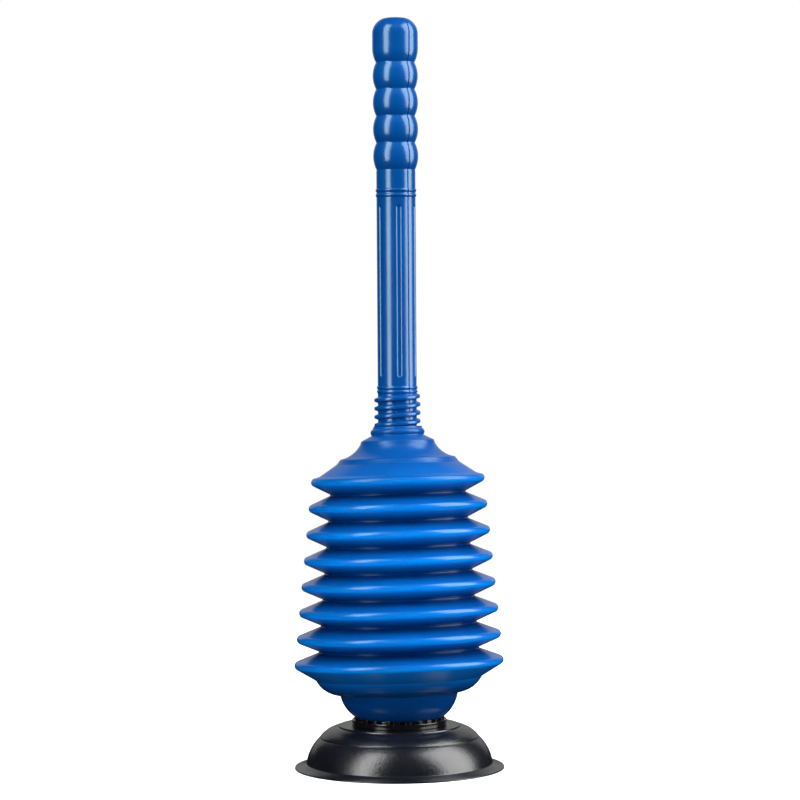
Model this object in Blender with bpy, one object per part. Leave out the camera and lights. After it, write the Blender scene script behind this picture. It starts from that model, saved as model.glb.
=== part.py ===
"""Toilet plunger: a hollow screw-in handle, a plastic bellows, a vent collar and a rubber cup.

The sizes below are in millimetres, and each mesh is made in metres. +Z runs up the handle.
The origin is the centre of the cup's rim, in the plane that the rim stands on.
Every round piece is an outline of (radius, height) points turned about +Z.
"""

import math

import bmesh
import bpy
from mathutils import Matrix, Vector

MM = 0.001
GAP = 0.3  # between two pieces that touch

CUP_SEGMENTS = 32
BELLOWS_SEGMENTS = 32
COLLAR_SEGMENTS = 48
HANDLE_SEGMENTS = 24

# Rubber cup
CUP_LIP_RADIUS = 85.4
CUP_LIP_HEIGHT = 1.1
CUP_FOOT = (76.0, 4.2)  # crease where the dome meets the flared lip
CUP_STEP = (64.6, 25.9)  # crease half way up the dome
CUP_SHOULDER = (49.2, 34.2)
CUP_TOP = 35.2
CUP_WALL = 4.0
CUP_RIM_INNER_RADIUS = 72.0

# Outlet neck of the bellows, and what is threaded on it like beads
OUTLET_OUTER_RADIUS = 23.6
OUTLET_INNER_RADIUS = 20.6
OUTLET_BOTTOM = 18.5
OUTLET_HOLE_RADIUS = 24.6  # in the cup and in the collar
RING_HOLE_RADIUS = 24.1  # in the washer and in the nut
WASHER_RADIUS = 28.0
WASHER_THICKNESS = 1.3
NUT_RADIUS = 27.6
NUT_BOTTOM = 20.5
NUT_LUG_TOP = 26.0
NUT_LUG_RADIUS = 31.4
NUT_LUGS = 6

# Vent collar and its flap
COLLAR_RADIUS = 38.6
COLLAR_TOP = 39.9
COLLAR_CHAMBER_RADIUS = 35.0
COLLAR_FLOOR_TOP = 37.0
COLLAR_HUB_RADIUS = 26.4
CROWN_RADIUS = 36.9
CROWN_TOP = 41.9
PORT_RADIUS = 2.5
PORT_CIRCLE_RADIUS = 31.0
PORTS = 8
FLAP_INNER_RADIUS = 27.2
FLAP_OUTER_RADIUS = 34.2
FLAP_THICKNESS = 1.0

# Bellows
BELLOWS_WALL = 1.7
CRESTS = 8
TOP_CREST = (70.6, 234.8)
BOTTOM_CREST = (85.3, 85.9)
TOP_VALLEY_RADIUS = 55.2
BOTTOM_VALLEY_RADIUS = 65.3
CREST_ROUND = 3.6  # radius of a crest's rounded edge
FLANK_ANGLE = math.radians(61)  # a flank's outward normal, from the horizontal
BOWL_STEP_1 = (67.7, 73.2)
BOWL_STEP_2 = (48.1, 60.9)
BOWL_BOTTOM = (36.3, 42.2)
SHOULDER_STEP_1 = (29.6, 267.0)
SHOULDER_STEP_2 = (46.7, 252.8)
SHOULDER_FOOT = (60.6, 240.6)
NECK_TOP = 278.4
NECK_BEAD_RADIUS = 22.1
NECK_BORE_RADIUS = 16.35
NECK_BORE_BOTTOM = 262.0
NECK_INNER_RADIUS = 27.4

# Handle
HANDLE_TOP = 610.0
KNOB_RADIUS = 18.5
KNOB_TOP_SIDE = 596.5
KNOB_BOTTOM_SIDE = 584.5
GRIP_NOTCH_RADIUS = 15.6
GRIP_NOTCHES = (573.4, 551.8, 530.2, 508.6)
GRIP_BOTTOM = 486.6
GRIP_BULGE = 2.65
SHAFT_RADIUS = 15.85
SHAFT_RIDGES = (470.0, 466.0, 310.2, 307.0)
RIDGE_HALF_HEIGHT = 1.3
RIDGE_BULGE = 0.75
HANDLE_BOTTOM = 259.0
HANDLE_BORE_RADIUS = 13.6
HANDLE_BORE_TOP = 597.0

# Screw thread between handle and neck, right-hand
THREAD_LEAD = 6.8
THREAD_BOTTOM = 262.5
THREAD_TURNS = 6.125
THREAD_CREST_RADIUS = 18.75
THREAD_ROOT_RADIUS = 15.6
THREAD_CREST_HALF_WIDTH = 1.15
THREAD_ROOT_HALF_WIDTH = 2.0
THREAD_RADIAL_PLAY = 0.55
THREAD_AXIAL_PLAY = 0.45

# Bung in the handle's open lower end
PLUG_FLANGE_RADIUS = 15.2
PLUG_FLANGE_THICKNESS = 2.2
PLUG_SPIGOT_TOP = 267.0
PLUG_WALL = 2.0

BLUE = (0.005, 0.130, 0.520)
BLACK_PLASTIC = (0.012, 0.012, 0.014)
BLACK_RUBBER = (0.018, 0.018, 0.021)


def clear_scene():
    for obj in list(bpy.data.objects):
        bpy.data.objects.remove(obj, do_unlink=True)


def material(name, colour, roughness):
    result = bpy.data.materials.new(name)
    result.use_nodes = True
    shader = result.node_tree.nodes["Principled BSDF"]
    shader.inputs["Base Color"].default_value = (*colour, 1.0)
    shader.inputs["Roughness"].default_value = roughness
    shader.inputs["Metallic"].default_value = 0.0
    return result


# Outlines


def arc(start, end, bulge, steps):
    """Points after start on the arc to end, which swells to the left of the way by bulge."""
    start, end = Vector(start), Vector(end)
    way = end - start
    half = way.length / 2
    radius = (half**2 + bulge**2) / (2 * bulge)
    left = Vector((-way.y, way.x)).normalized()
    centre = (start + end) / 2 + left * (bulge - radius)
    sweep = -2 * math.asin(half / radius)
    turns = [Matrix.Rotation(sweep * step / steps, 2) for step in range(1, steps + 1)]
    return [tuple(centre + turn @ (start - centre)) for turn in turns]


def inner_side(outer, wall):
    """The outline one wall thickness inside an outline that is drawn downwards, also drawn downwards."""
    points = [Vector(point) for point in outer]
    ways = [(b - a).normalized() for a, b in zip(points, points[1:])]
    normals = [Vector((way.y, -way.x)) for way in ways]
    inner = [points[0] + Vector((wall / normals[0].x, 0))]
    for point, above, below in zip(points[1:-1], normals, normals[1:]):
        mitre = (above + below).normalized()
        inner.append(point + mitre * wall / mitre.dot(above))
    inner.append(points[-1] + Vector((wall / normals[-1].x, 0)))
    return [tuple(point) for point in inner]


def rectangle(inner_radius, outer_radius, bottom, top):
    return [(inner_radius, top), (outer_radius, top), (outer_radius, bottom), (inner_radius, bottom)]


def crest(radius, height, from_angle, to_angle, steps):
    """The rounded edge of a fold, between two angles above the horizontal, drawn downwards."""
    points = []
    for step in range(steps + 1):
        angle = from_angle + (to_angle - from_angle) * step / steps
        points.append(
            (
                radius - CREST_ROUND * (1 - math.cos(angle)),
                height + CREST_ROUND * math.sin(angle),
            )
        )
    return points


# Meshes


def finish(name, bm, surface):
    """Turns a bmesh in millimetres into a smooth-shaded object in metres."""
    bmesh.ops.recalc_face_normals(bm, faces=bm.faces)
    bmesh.ops.scale(bm, vec=(MM, MM, MM), verts=bm.verts)
    mesh = bpy.data.meshes.new(name)
    bm.to_mesh(mesh)
    bm.free()
    mesh.shade_smooth()
    mesh.set_sharp_from_angle(angle=math.radians(35))
    obj = bpy.data.objects.new(name, mesh)
    bpy.context.scene.collection.objects.link(obj)
    if surface:
        mesh.materials.append(surface)
    else:
        obj.hide_render = True
        obj.display_type = "WIRE"
    return obj


def turned(outline, segments):
    """An outline turned about +Z; it closes on itself unless both its ends are on the axis."""
    bm = bmesh.new()
    verts = [bm.verts.new((radius, 0, height)) for radius, height in outline]
    edges = [bm.edges.new(pair) for pair in zip(verts, verts[1:])]
    if outline[0][0] > 0 or outline[-1][0] > 0:
        edges.append(bm.edges.new((verts[-1], verts[0])))
    bmesh.ops.spin(
        bm,
        geom=verts + edges,
        cent=(0, 0, 0),
        axis=(0, 0, 1),
        angle=math.tau,
        steps=segments,
        use_merge=True,
    )
    bmesh.ops.remove_doubles(bm, verts=bm.verts, dist=1e-4)
    return bm


def push_out(bm, faces, along_z=0.0, to_radius=None):
    """Extrudes faces upwards, or outwards until they reach a radius."""
    region = bmesh.ops.extrude_face_region(bm, geom=faces)["geom"]
    moved = [item for item in region if isinstance(item, bmesh.types.BMVert)]
    for vert in moved:
        vert.co.z += along_z
        if to_radius:
            reach = to_radius / vert.co.xy.length
            vert.co.x *= reach
            vert.co.y *= reach
    bmesh.ops.delete(bm, geom=faces, context="FACES_ONLY")


def segment_of(face, segments):
    centre = face.calc_center_median()
    angle = math.atan2(centre.y, centre.x) % math.tau
    return int(angle / math.tau * segments)


def helical_bar(play_out, play_along, start, turns, taper):
    """A right-hand thread's ridge: a trapezoid swept along a helix, with ends that may fade to the root."""
    bm = bmesh.new()
    steps = round(turns * HANDLE_SEGMENTS)
    crest_radius = THREAD_CREST_RADIUS + play_out
    crest_half = THREAD_CREST_HALF_WIDTH + play_along
    root_half = THREAD_ROOT_HALF_WIDTH + play_along
    rings = []
    for step in range(steps + 1):
        angle = math.tau * step / HANDLE_SEGMENTS
        height = start + THREAD_LEAD * step / HANDLE_SEGMENTS
        fade = min(1.0, max(0.03, min(step, steps - step) / taper)) if taper else 1.0
        peak = THREAD_ROOT_RADIUS + (crest_radius - THREAD_ROOT_RADIUS) * fade
        corners = [
            (THREAD_ROOT_RADIUS, -root_half),
            (peak, -crest_half),
            (peak, crest_half),
            (THREAD_ROOT_RADIUS, root_half),
        ]
        across = Vector((math.cos(angle), math.sin(angle), 0))
        rings.append([bm.verts.new(across * r + Vector((0, 0, height + z))) for r, z in corners])
    for low, high in zip(rings, rings[1:]):
        for side in range(4):
            after = (side + 1) % 4
            bm.faces.new((low[side], low[after], high[after], high[side]))
    bm.faces.new(rings[0])
    bm.faces.new(rings[-1])
    return bm


def port_cutter(name, bottom, top):
    """A ring of round rods that cut the vent ports."""
    bm = bmesh.new()
    for index in range(PORTS):
        angle = math.tau * (index + 0.5) / PORTS
        centre = Vector((math.cos(angle), math.sin(angle), 0)) * PORT_CIRCLE_RADIUS
        centre.z = (bottom + top) / 2
        bmesh.ops.create_cone(
            bm,
            cap_ends=True,
            segments=8,
            radius1=PORT_RADIUS,
            radius2=PORT_RADIUS,
            depth=top - bottom,
            matrix=Matrix.Translation(centre),
        )
    return finish(name, bm, None)


def boolean(target, tool, operation):
    modifier = target.modifiers.new(tool.name, "BOOLEAN")
    modifier.operation = operation
    modifier.solver = "EXACT"
    modifier.object = tool


# Pieces


def rubber_cup():
    outer = [(OUTLET_HOLE_RADIUS, CUP_TOP), (CUP_SHOULDER[0] - 1.0, CUP_TOP), CUP_SHOULDER]
    outer += arc(outer[-1], CUP_STEP, 1.7, 2)
    outer += arc(CUP_STEP, CUP_FOOT, 2.0, 4)
    outer += arc(CUP_FOOT, (CUP_LIP_RADIUS, CUP_LIP_HEIGHT), -0.6, 2)
    inner = [(CUP_RIM_INNER_RADIUS, 0.0)]
    inner += arc(inner[0], (47.5, CUP_TOP - CUP_WALL), -7.0, 4)
    outline = outer + [(CUP_LIP_RADIUS, 0.0)] + inner + [(OUTLET_HOLE_RADIUS, CUP_TOP - CUP_WALL)]
    cup = finish("rubber_cup", turned(outline, CUP_SEGMENTS), material("cup_rubber", BLACK_RUBBER, 0.45))
    ports = port_cutter("cup_port_cutter", CUP_TOP - CUP_WALL - 1, CUP_TOP + 1)
    boolean(cup, ports, "DIFFERENCE")


def vent_collar():
    outline = [
        (COLLAR_RADIUS, COLLAR_TOP),
        (COLLAR_RADIUS, CUP_TOP + GAP),
        (OUTLET_HOLE_RADIUS, CUP_TOP + GAP),
        (OUTLET_HOLE_RADIUS, CROWN_TOP),
        (COLLAR_HUB_RADIUS, CROWN_TOP),
        (COLLAR_HUB_RADIUS, COLLAR_FLOOR_TOP),
        (COLLAR_CHAMBER_RADIUS, COLLAR_FLOOR_TOP),
        (COLLAR_CHAMBER_RADIUS, COLLAR_TOP),
        (CROWN_RADIUS, COLLAR_TOP),
    ]
    bm = turned(outline, COLLAR_SEGMENTS)
    crown = []
    for face in bm.faces:
        centre = face.calc_center_median()
        on_crown = COLLAR_CHAMBER_RADIUS < centre.xy.length < CROWN_RADIUS
        if on_crown and centre.z > COLLAR_TOP - 0.1 and segment_of(face, COLLAR_SEGMENTS) % 2:
            crown.append(face)
    push_out(bm, crown, along_z=CROWN_TOP - COLLAR_TOP)
    collar = finish("vent_collar", bm, material("collar_plastic", BLACK_PLASTIC, 0.2))
    ports = port_cutter("collar_port_cutter", CUP_TOP - 1, COLLAR_FLOOR_TOP + 1)
    boolean(collar, ports, "DIFFERENCE")


def valve_flap():
    bottom = COLLAR_FLOOR_TOP + GAP
    outline = rectangle(FLAP_INNER_RADIUS, FLAP_OUTER_RADIUS, bottom, bottom + FLAP_THICKNESS)
    finish("valve_flap", turned(outline, CUP_SEGMENTS), material("flap_rubber", BLACK_RUBBER, 0.5))


def cup_washer():
    top = CUP_TOP - CUP_WALL - GAP
    outline = rectangle(RING_HOLE_RADIUS, WASHER_RADIUS, top - WASHER_THICKNESS, top)
    finish("cup_washer", turned(outline, CUP_SEGMENTS), material("washer_plastic", BLACK_PLASTIC, 0.4))


def ring_nut():
    """A ring with lugs for the fingers, run up the outlet neck under the washer."""
    top = CUP_TOP - CUP_WALL - WASHER_THICKNESS - 2 * GAP
    outline = [
        (NUT_RADIUS, top),
        (NUT_RADIUS, NUT_LUG_TOP),
        (NUT_RADIUS, NUT_BOTTOM),
        (RING_HOLE_RADIUS, NUT_BOTTOM),
        (RING_HOLE_RADIUS, top),
    ]
    bm = turned(outline, COLLAR_SEGMENTS)
    lug_spacing = COLLAR_SEGMENTS // NUT_LUGS
    for lug in range(NUT_LUGS):
        span = (lug * lug_spacing, lug * lug_spacing + 1)
        faces = []
        for face in bm.faces:
            centre = face.calc_center_median()
            on_side = centre.xy.length > NUT_RADIUS - 0.5 and abs(face.normal.z) < 0.1
            if on_side and centre.z < NUT_LUG_TOP and segment_of(face, COLLAR_SEGMENTS) in span:
                faces.append(face)
        push_out(bm, faces, to_radius=NUT_LUG_RADIUS)
    finish("ring_nut", bm, material("nut_plastic", BLACK_PLASTIC, 0.35))


def crest_at(index):
    """Radius and height of a crest, counted down from the top."""
    share = index / (CRESTS - 1)
    top, bottom = Vector(TOP_CREST), Vector(BOTTOM_CREST)
    return tuple(top.lerp(bottom, share))


def valley_below(index):
    """Radius and height of the valley under a crest."""
    share = index / (CRESTS - 2)
    radius = TOP_VALLEY_RADIUS + (BOTTOM_VALLEY_RADIUS - TOP_VALLEY_RADIUS) * share
    height = (crest_at(index)[1] + crest_at(index + 1)[1]) / 2
    return radius, height


def bellows_bowl(plastic):
    """From the bottom crest down to the end of the outlet neck."""
    outer = crest(*BOTTOM_CREST, 0.0, -FLANK_ANGLE, 2)
    outer[0] = (outer[0][0], outer[0][1] - GAP / 2)
    outer.append(BOWL_STEP_1)
    outer += arc(BOWL_STEP_1, BOWL_STEP_2, 3.3, 3)
    outer += arc(BOWL_STEP_2, BOWL_BOTTOM, 2.3, 3)
    inner = inner_side(outer, BELLOWS_WALL)
    inner[-1] = (inner[-1][0], BOWL_BOTTOM[1] + BELLOWS_WALL)
    outer += [(OUTLET_OUTER_RADIUS, BOWL_BOTTOM[1]), (OUTLET_OUTER_RADIUS, OUTLET_BOTTOM)]
    floor = BOWL_BOTTOM[1] + BELLOWS_WALL
    inner += [(OUTLET_INNER_RADIUS, floor), (OUTLET_INNER_RADIUS, OUTLET_BOTTOM)]
    finish("bellows_bowl", turned(outer + inner[::-1], BELLOWS_SEGMENTS), plastic)


def bellows_folds(plastic):
    """From the middle of the top crest to the middle of the bottom crest."""
    outer = crest(*TOP_CREST, 0.0, -FLANK_ANGLE, 1)
    for index in range(1, CRESTS - 1):
        outer.append(valley_below(index - 1))
        outer += crest(*crest_at(index), FLANK_ANGLE, -FLANK_ANGLE, 2)
    outer.append(valley_below(CRESTS - 2))
    outer += crest(*BOTTOM_CREST, FLANK_ANGLE, 0.0, 1)
    outer[0] = (outer[0][0], outer[0][1] - GAP / 2)
    outer[-1] = (outer[-1][0], outer[-1][1] + GAP / 2)
    inner = inner_side(outer, BELLOWS_WALL)
    finish("bellows_folds", turned(outer + inner[::-1], BELLOWS_SEGMENTS), plastic)


def bellows_neck(plastic):
    """The female threaded neck and the stepped shoulder, down to the middle of the top crest."""
    outer = [
        (NECK_BEAD_RADIUS - 2.1, NECK_TOP),
        (NECK_BEAD_RADIUS - 0.3, NECK_TOP - 3.2),
        (NECK_BEAD_RADIUS, NECK_TOP - 4.5),
        (NECK_BEAD_RADIUS - 0.5, NECK_TOP - 6.8),
        (NECK_BEAD_RADIUS + 0.9, NECK_TOP - 8.0),
        SHOULDER_STEP_1,
    ]
    skirt = [(SHOULDER_STEP_1[0] + 0.7, SHOULDER_STEP_1[1] - 2.4)]
    skirt += arc(skirt[0], SHOULDER_STEP_2, -2.4, 3)
    skirt += arc(SHOULDER_STEP_2, SHOULDER_FOOT, -0.6, 2)
    skirt += crest(*TOP_CREST, FLANK_ANGLE, 0.0, 2)
    skirt[-1] = (skirt[-1][0], skirt[-1][1] + GAP / 2)
    inner = inner_side(skirt, BELLOWS_WALL)[1:]
    bore = [(NECK_BORE_RADIUS, NECK_TOP), (NECK_BORE_RADIUS, NECK_BORE_BOTTOM)]
    bore.append((NECK_INNER_RADIUS, NECK_BORE_BOTTOM))
    outline = outer + skirt + (bore + inner)[::-1]
    neck = finish("bellows_neck", turned(outline, BELLOWS_SEGMENTS), plastic)
    groove = helical_bar(
        THREAD_RADIAL_PLAY,
        THREAD_AXIAL_PLAY,
        THREAD_BOTTOM - THREAD_LEAD,
        turns=4,
        taper=0,
    )
    boolean(neck, finish("neck_thread_cutter", groove, None), "DIFFERENCE")


def handle():
    outline = [(0.0, HANDLE_TOP)]
    outline += arc(outline[-1], (9.5, HANDLE_TOP - 1.0), 0.2, 2)
    outline += arc(outline[-1], (KNOB_RADIUS, KNOB_TOP_SIDE), 2.5, 3)
    outline.append((KNOB_RADIUS, KNOB_BOTTOM_SIDE))
    outline += arc(outline[-1], (GRIP_NOTCH_RADIUS, GRIP_NOTCHES[0]), 0.7, 2)
    for height in GRIP_NOTCHES[1:] + (GRIP_BOTTOM,):
        outline += arc(outline[-1], (GRIP_NOTCH_RADIUS, height), GRIP_BULGE, 4)
    outline.append((SHAFT_RADIUS, GRIP_BOTTOM - 1.0))
    for height in SHAFT_RIDGES:
        outline.append((SHAFT_RADIUS, height + RIDGE_HALF_HEIGHT))
        outline += arc(outline[-1], (SHAFT_RADIUS, height - RIDGE_HALF_HEIGHT), RIDGE_BULGE, 2)
    outline.append((SHAFT_RADIUS, HANDLE_BOTTOM))
    outline += [
        (HANDLE_BORE_RADIUS, HANDLE_BOTTOM),
        (HANDLE_BORE_RADIUS, HANDLE_BORE_TOP),
        (HANDLE_BORE_RADIUS - 5.0, HANDLE_TOP - 5.6),
        (0.0, HANDLE_TOP - 3.6),
    ]
    plastic = material("handle_plastic", BLUE, 0.25)
    body = finish("handle", turned(outline, HANDLE_SEGMENTS), plastic)
    ridge = helical_bar(0.0, 0.0, THREAD_BOTTOM, THREAD_TURNS, taper=HANDLE_SEGMENTS // 6)
    boolean(body, finish("handle_thread_tool", ridge, None), "UNION")


def handle_end_plug():
    top = HANDLE_BOTTOM - GAP
    bottom = top - PLUG_FLANGE_THICKNESS
    spigot_radius = HANDLE_BORE_RADIUS - 1.5 * GAP
    outline = [
        (0.0, bottom + PLUG_WALL),
        (spigot_radius - PLUG_WALL, bottom + PLUG_WALL),
        (spigot_radius - PLUG_WALL, PLUG_SPIGOT_TOP),
        (spigot_radius, PLUG_SPIGOT_TOP),
        (spigot_radius, top),
        (PLUG_FLANGE_RADIUS, top),
        (PLUG_FLANGE_RADIUS, bottom),
        (0.0, bottom),
    ]
    plug = turned(outline, HANDLE_SEGMENTS)
    finish("handle_end_plug", plug, material("plug_plastic", BLACK_PLASTIC, 0.4))


def main():
    clear_scene()
    rubber_cup()
    vent_collar()
    valve_flap()
    cup_washer()
    ring_nut()
    for piece in (bellows_bowl, bellows_folds, bellows_neck):
        piece(material(piece.__name__ + "_plastic", BLUE, 0.25))
    handle()
    handle_end_plug()


main()
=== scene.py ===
"""Looks of the bellows toilet plunger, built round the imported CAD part.

Sizes are in millimetres, and each mesh is made in metres. +Z runs up the handle. The camera stands
on the -Y side. Every round piece is made of strips: an outline of (radius, height) points, drawn
downwards on an outer side, turned about +Z.
"""

import math

import bmesh
import bpy
import numpy as np
from mathutils import Euler, Matrix, Vector

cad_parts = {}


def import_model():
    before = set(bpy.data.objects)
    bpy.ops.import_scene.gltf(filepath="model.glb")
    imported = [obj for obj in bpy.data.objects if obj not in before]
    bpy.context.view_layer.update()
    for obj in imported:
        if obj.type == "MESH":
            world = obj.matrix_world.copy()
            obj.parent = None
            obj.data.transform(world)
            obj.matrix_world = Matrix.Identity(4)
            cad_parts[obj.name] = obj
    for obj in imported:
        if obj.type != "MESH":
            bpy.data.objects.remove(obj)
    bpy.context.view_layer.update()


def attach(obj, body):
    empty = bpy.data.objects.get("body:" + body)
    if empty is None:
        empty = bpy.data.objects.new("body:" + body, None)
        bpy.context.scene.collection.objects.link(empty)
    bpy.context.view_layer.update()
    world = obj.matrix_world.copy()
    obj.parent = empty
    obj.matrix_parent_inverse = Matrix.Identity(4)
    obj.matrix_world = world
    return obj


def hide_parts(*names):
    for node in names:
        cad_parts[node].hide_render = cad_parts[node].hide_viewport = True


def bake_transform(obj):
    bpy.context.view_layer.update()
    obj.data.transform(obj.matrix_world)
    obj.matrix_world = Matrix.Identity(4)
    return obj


MM = 0.001

CUP_SEGMENTS = 192
BELLOWS_SEGMENTS = 192
HANDLE_SEGMENTS = 336
HIDDEN_SEGMENTS = 96

# Rubber cup
CUP_LIP = (85.4, 1.1)
CUP_FOOT = (76.0, 4.2)  # crease where the dome meets the flared lip
CUP_STEP = (64.6, 25.9)  # crease half way up the dome
CUP_SHOULDER = (49.7, 34.2)
CUP_TOP = 35.2
CUP_CEILING = 31.2
CUP_RIM_INNER_RADIUS = 72.0
CUP_CEILING_RADIUS = 47.5

# Outlet neck, and what sits round it
OUTLET_OUTER_RADIUS = 23.6
OUTLET_INNER_RADIUS = 20.6
OUTLET_BOTTOM = 18.5
OUTLET_HOLE_RADIUS = 24.6
RING_HOLE_RADIUS = 24.1
WASHER_RADIUS = 28.0
WASHER_TOP = 30.9
WASHER_BOTTOM = 29.6
NUT_RADIUS = 27.6
NUT_TOP = 29.3
NUT_BOTTOM = 20.5
NUT_LUG_TOP = 26.0
NUT_LUG_RADIUS = 31.4
NUT_LUGS = 6
NUT_LUG_ANGLE = 15.0

# Vent collar and its flap
COLLAR_RADIUS = 38.6
COLLAR_TOP = 39.9
COLLAR_BOTTOM = 35.5
COLLAR_CHAMBER_RADIUS = 35.0
COLLAR_FLOOR_TOP = 37.0
COLLAR_HUB_RADIUS = 26.4
CROWN_RADIUS = 36.9
CROWN_TOP = 41.9
CROWN_TEETH = 24
PORT_RADIUS = 2.5
PORT_CIRCLE_RADIUS = 31.0
PORTS = 8
FLAP_INNER_RADIUS = 27.2
FLAP_OUTER_RADIUS = 34.2
FLAP_BOTTOM = 37.3
FLAP_TOP = 38.3

# Bellows
BELLOWS_WALL = 1.7
CRESTS = 8
TOP_CREST = (70.6, 234.8)
BOTTOM_CREST = (85.3, 85.9)
TOP_VALLEY_RADIUS = 55.2
BOTTOM_VALLEY_RADIUS = 65.3
CREST_ROUND = 3.6
VALLEY_ROUND = 0.8
FLANK_ANGLE = math.radians(61)
BOWL_STEP_1 = (67.7, 73.2)
BOWL_STEP_2 = (48.1, 60.9)
BOWL_BOTTOM = (36.3, 42.2)
SHOULDER_STEP_1 = (29.6, 267.0)
SHOULDER_STEP_2 = (46.7, 252.8)
NECK_TOP = 278.4
NECK_BEAD_RADIUS = 22.1
NECK_BORE_RADIUS = 16.35
NECK_BORE_BOTTOM = 262.0
NECK_BORE_RINGS = 28
NECK_BORE_RING_STEP = 0.6
NECK_INNER_RADIUS = 27.4

# Painted light and painted shade on the bellows: shares of the way to the painted pale blue or the
# painted deep blue, and how far they reach
EDGE_PAINTED_LIGHT_FADE = 1.2  # from a crest's rounded edge to where its painted light ends
EDGE_PAINTED_LIGHT_SHARE = 0.6  # painted light at the outermost point of a crest
UNDERSIDE_PAINTED_LIGHT_SHARE = 0.4  # painted light just under the bottom crest
# painted light on the bowl, below its upper step
BOWL_PAINTED_LIGHT_SHARE = 0.2
BOWL_PAINTED_SHADE_DROP = 0.5  # from the bowl's upper step down to where its painted shade starts
# height over which the bowl's painted shade deepens to the full
BOWL_PAINTED_SHADE_FADE = 17.0
# painted shade on the upward-facing shoulder, and the height above the top crest over which it grows
SHOULDER_PAINTED_SHADE = 0.35
SHOULDER_PAINTED_SHADE_FADE = 12.0
FOLD_DEPTH = 18.0  # about the depth of a fold, which the flanks' painted shades are measured by
UPPER_FLANK_PAINTED_SHADE = (2.0, -0.8)  # painted shade on the upper flanks, deepening into the valleys: growth over a fold's depth, and value at the crest
# painted shade on the lower flanks, deepening into the valleys
LOWER_FLANK_PAINTED_SHADE = (1.0, 0.3)

# Handle
HANDLE_TOP = 610.0
KNOB_RADIUS = 18.5
KNOB_TOP_SIDE = 596.5
KNOB_BOTTOM_SIDE = 584.5
GRIP_NOTCH_RADIUS = 15.6
GRIP_NOTCHES = (573.4, 551.8, 530.2, 508.6)
GRIP_BOTTOM = 486.6
GRIP_BULGE = 2.65
SHAFT_RADIUS = 15.85
SHAFT_RIDGES = (470.0, 466.0, 310.2, 307.0)
RIDGE_HALF_HEIGHT = 1.3
RIDGE_BULGE = 0.75
HANDLE_BOTTOM = 259.0
HANDLE_BORE_RADIUS = 13.6
HANDLE_BORE_TOP = 597.0
FLUTES = 6
FLUTE_ANGLE = math.radians(-82)  # of the flute nearest the camera
FLUTE_ENDS = (321.0, 456.0)
FLUTE_HALF_WIDTH = 2.4
FLUTE_WALL_SHARE = 0.5  # of the half width
FLUTE_DEPTH = 0.75
PARTING_ANGLE = math.radians(-52.5)  # of the mould's parting plane through the handle
PARTING_HALF_WIDTH = 0.6
PARTING_DEPTH = 0.4
PLUG_FLANGE_RADIUS = 15.2
PLUG_FLANGE = (256.5, 258.7)
PLUG_SPIGOT_RADIUS = 13.15
PLUG_SPIGOT_TOP = 267.0
PLUG_WALL = 2.0

# Screw thread
THREAD_LEAD = 6.8
THREAD_BOTTOM = 262.5
THREAD_TURNS = 6.125
THREAD_CREST_RADIUS = 18.75
THREAD_CREST_HALF_WIDTH = 1.15
THREAD_ROOT_HALF_WIDTH = 2.0
THREAD_FOOT_SINK = 0.3  # of the ridge's foot into the shaft
THREAD_PLAY = 0.5
THREAD_STEPS = 96  # in one turn
THREAD_FADE_TURNS = 1 / 6
NECK_BORE_REACH = THREAD_CREST_RADIUS + THREAD_PLAY + 0.1  # all of the threaded bore is within it

# The bellows stands a little askew on the cup: its rings dip towards -X and rise towards -Y
LEAN = (math.tan(math.radians(1.45)), math.tan(math.radians(-3.0)))
LEAN_FROM = 42.0
LEAN_FULL = 60.0

# Colours
HANDLE_BLUE = (0.0004, 0.081, 0.345)
BELLOWS_BLUE = (0.0004, 0.100, 0.410)
PAINTED_LIGHT_BLUE = (0.0010, 0.255, 0.920)  # painted light, on the crests' edges, under the bottom crest and on the bowl
PAINTED_SHADE_BLUE = (0.0003, 0.029, 0.160)  # painted shade, in the valleys, on the shoulder and low on the bowl
BLUE_GLOSS_TINT = (0.68, 0.95, 1.0, 1.0)
BLACK = (0.006, 0.006, 0.007)
RUBBER = (0.007, 0.008, 0.011)
WORLD_GREY = (0.006, 0.006, 0.006, 1.0)
WHITE = (1.0, 1.0, 1.0, 1.0)
FLOOR_PAINT = (0.9, 0.9, 0.9, 1.0)

# How the moulding's flow stretches scuffs and fine lines, as scales of the pattern
BELLOWS_FLOW = (1, 1, 0.25)
HANDLE_FLOW = (1, 1, 0.06)

# Stage, in metres and degrees
LAMP_TARGET_HEIGHT = 0.32
BELLOWS_MIDDLE = 0.17
FLOOR_RADIUS = 1.2
FLOOR_GLOW = 0.7
CAMERA_PLACE = (0.0022, -2.45, 0.3855)
CAMERA_DOWN = 2.0
CAMERA_ROLL = -0.37
LENS_MM = 135.7
SENSOR_MM = 36.0

SHARP_ANGLE = math.radians(40)


def clamped(value):
    """A share, held between 0 and 1."""
    return min(1.0, max(0.0, value))


# Outlines


def arc(start, end, bulge, steps=24):
    """Points after start on the arc to end, which swells to the left of the way by bulge."""
    start, end = Vector(start), Vector(end)
    way = end - start
    half = way.length / 2
    radius = (half**2 + bulge**2) / (2 * bulge)
    left = Vector((-way.y, way.x)).normalized()
    centre = (start + end) / 2 + left * (bulge - radius)
    sweep = -2 * math.asin(half / radius)
    turns = [Matrix.Rotation(sweep * step / steps, 2) for step in range(1, steps + 1)]
    return [tuple(centre + turn @ (start - centre)) for turn in turns]


def crest(radius, height, from_angle=FLANK_ANGLE, to_angle=-FLANK_ANGLE, steps=14):
    """The rounded edge of a fold, between two angles above the horizontal, drawn downwards."""
    angles = [from_angle + (to_angle - from_angle) * step / steps for step in range(steps + 1)]
    inset = radius - CREST_ROUND
    return [(inset + CREST_ROUND * math.cos(a), height + CREST_ROUND * math.sin(a)) for a in angles]


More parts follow.
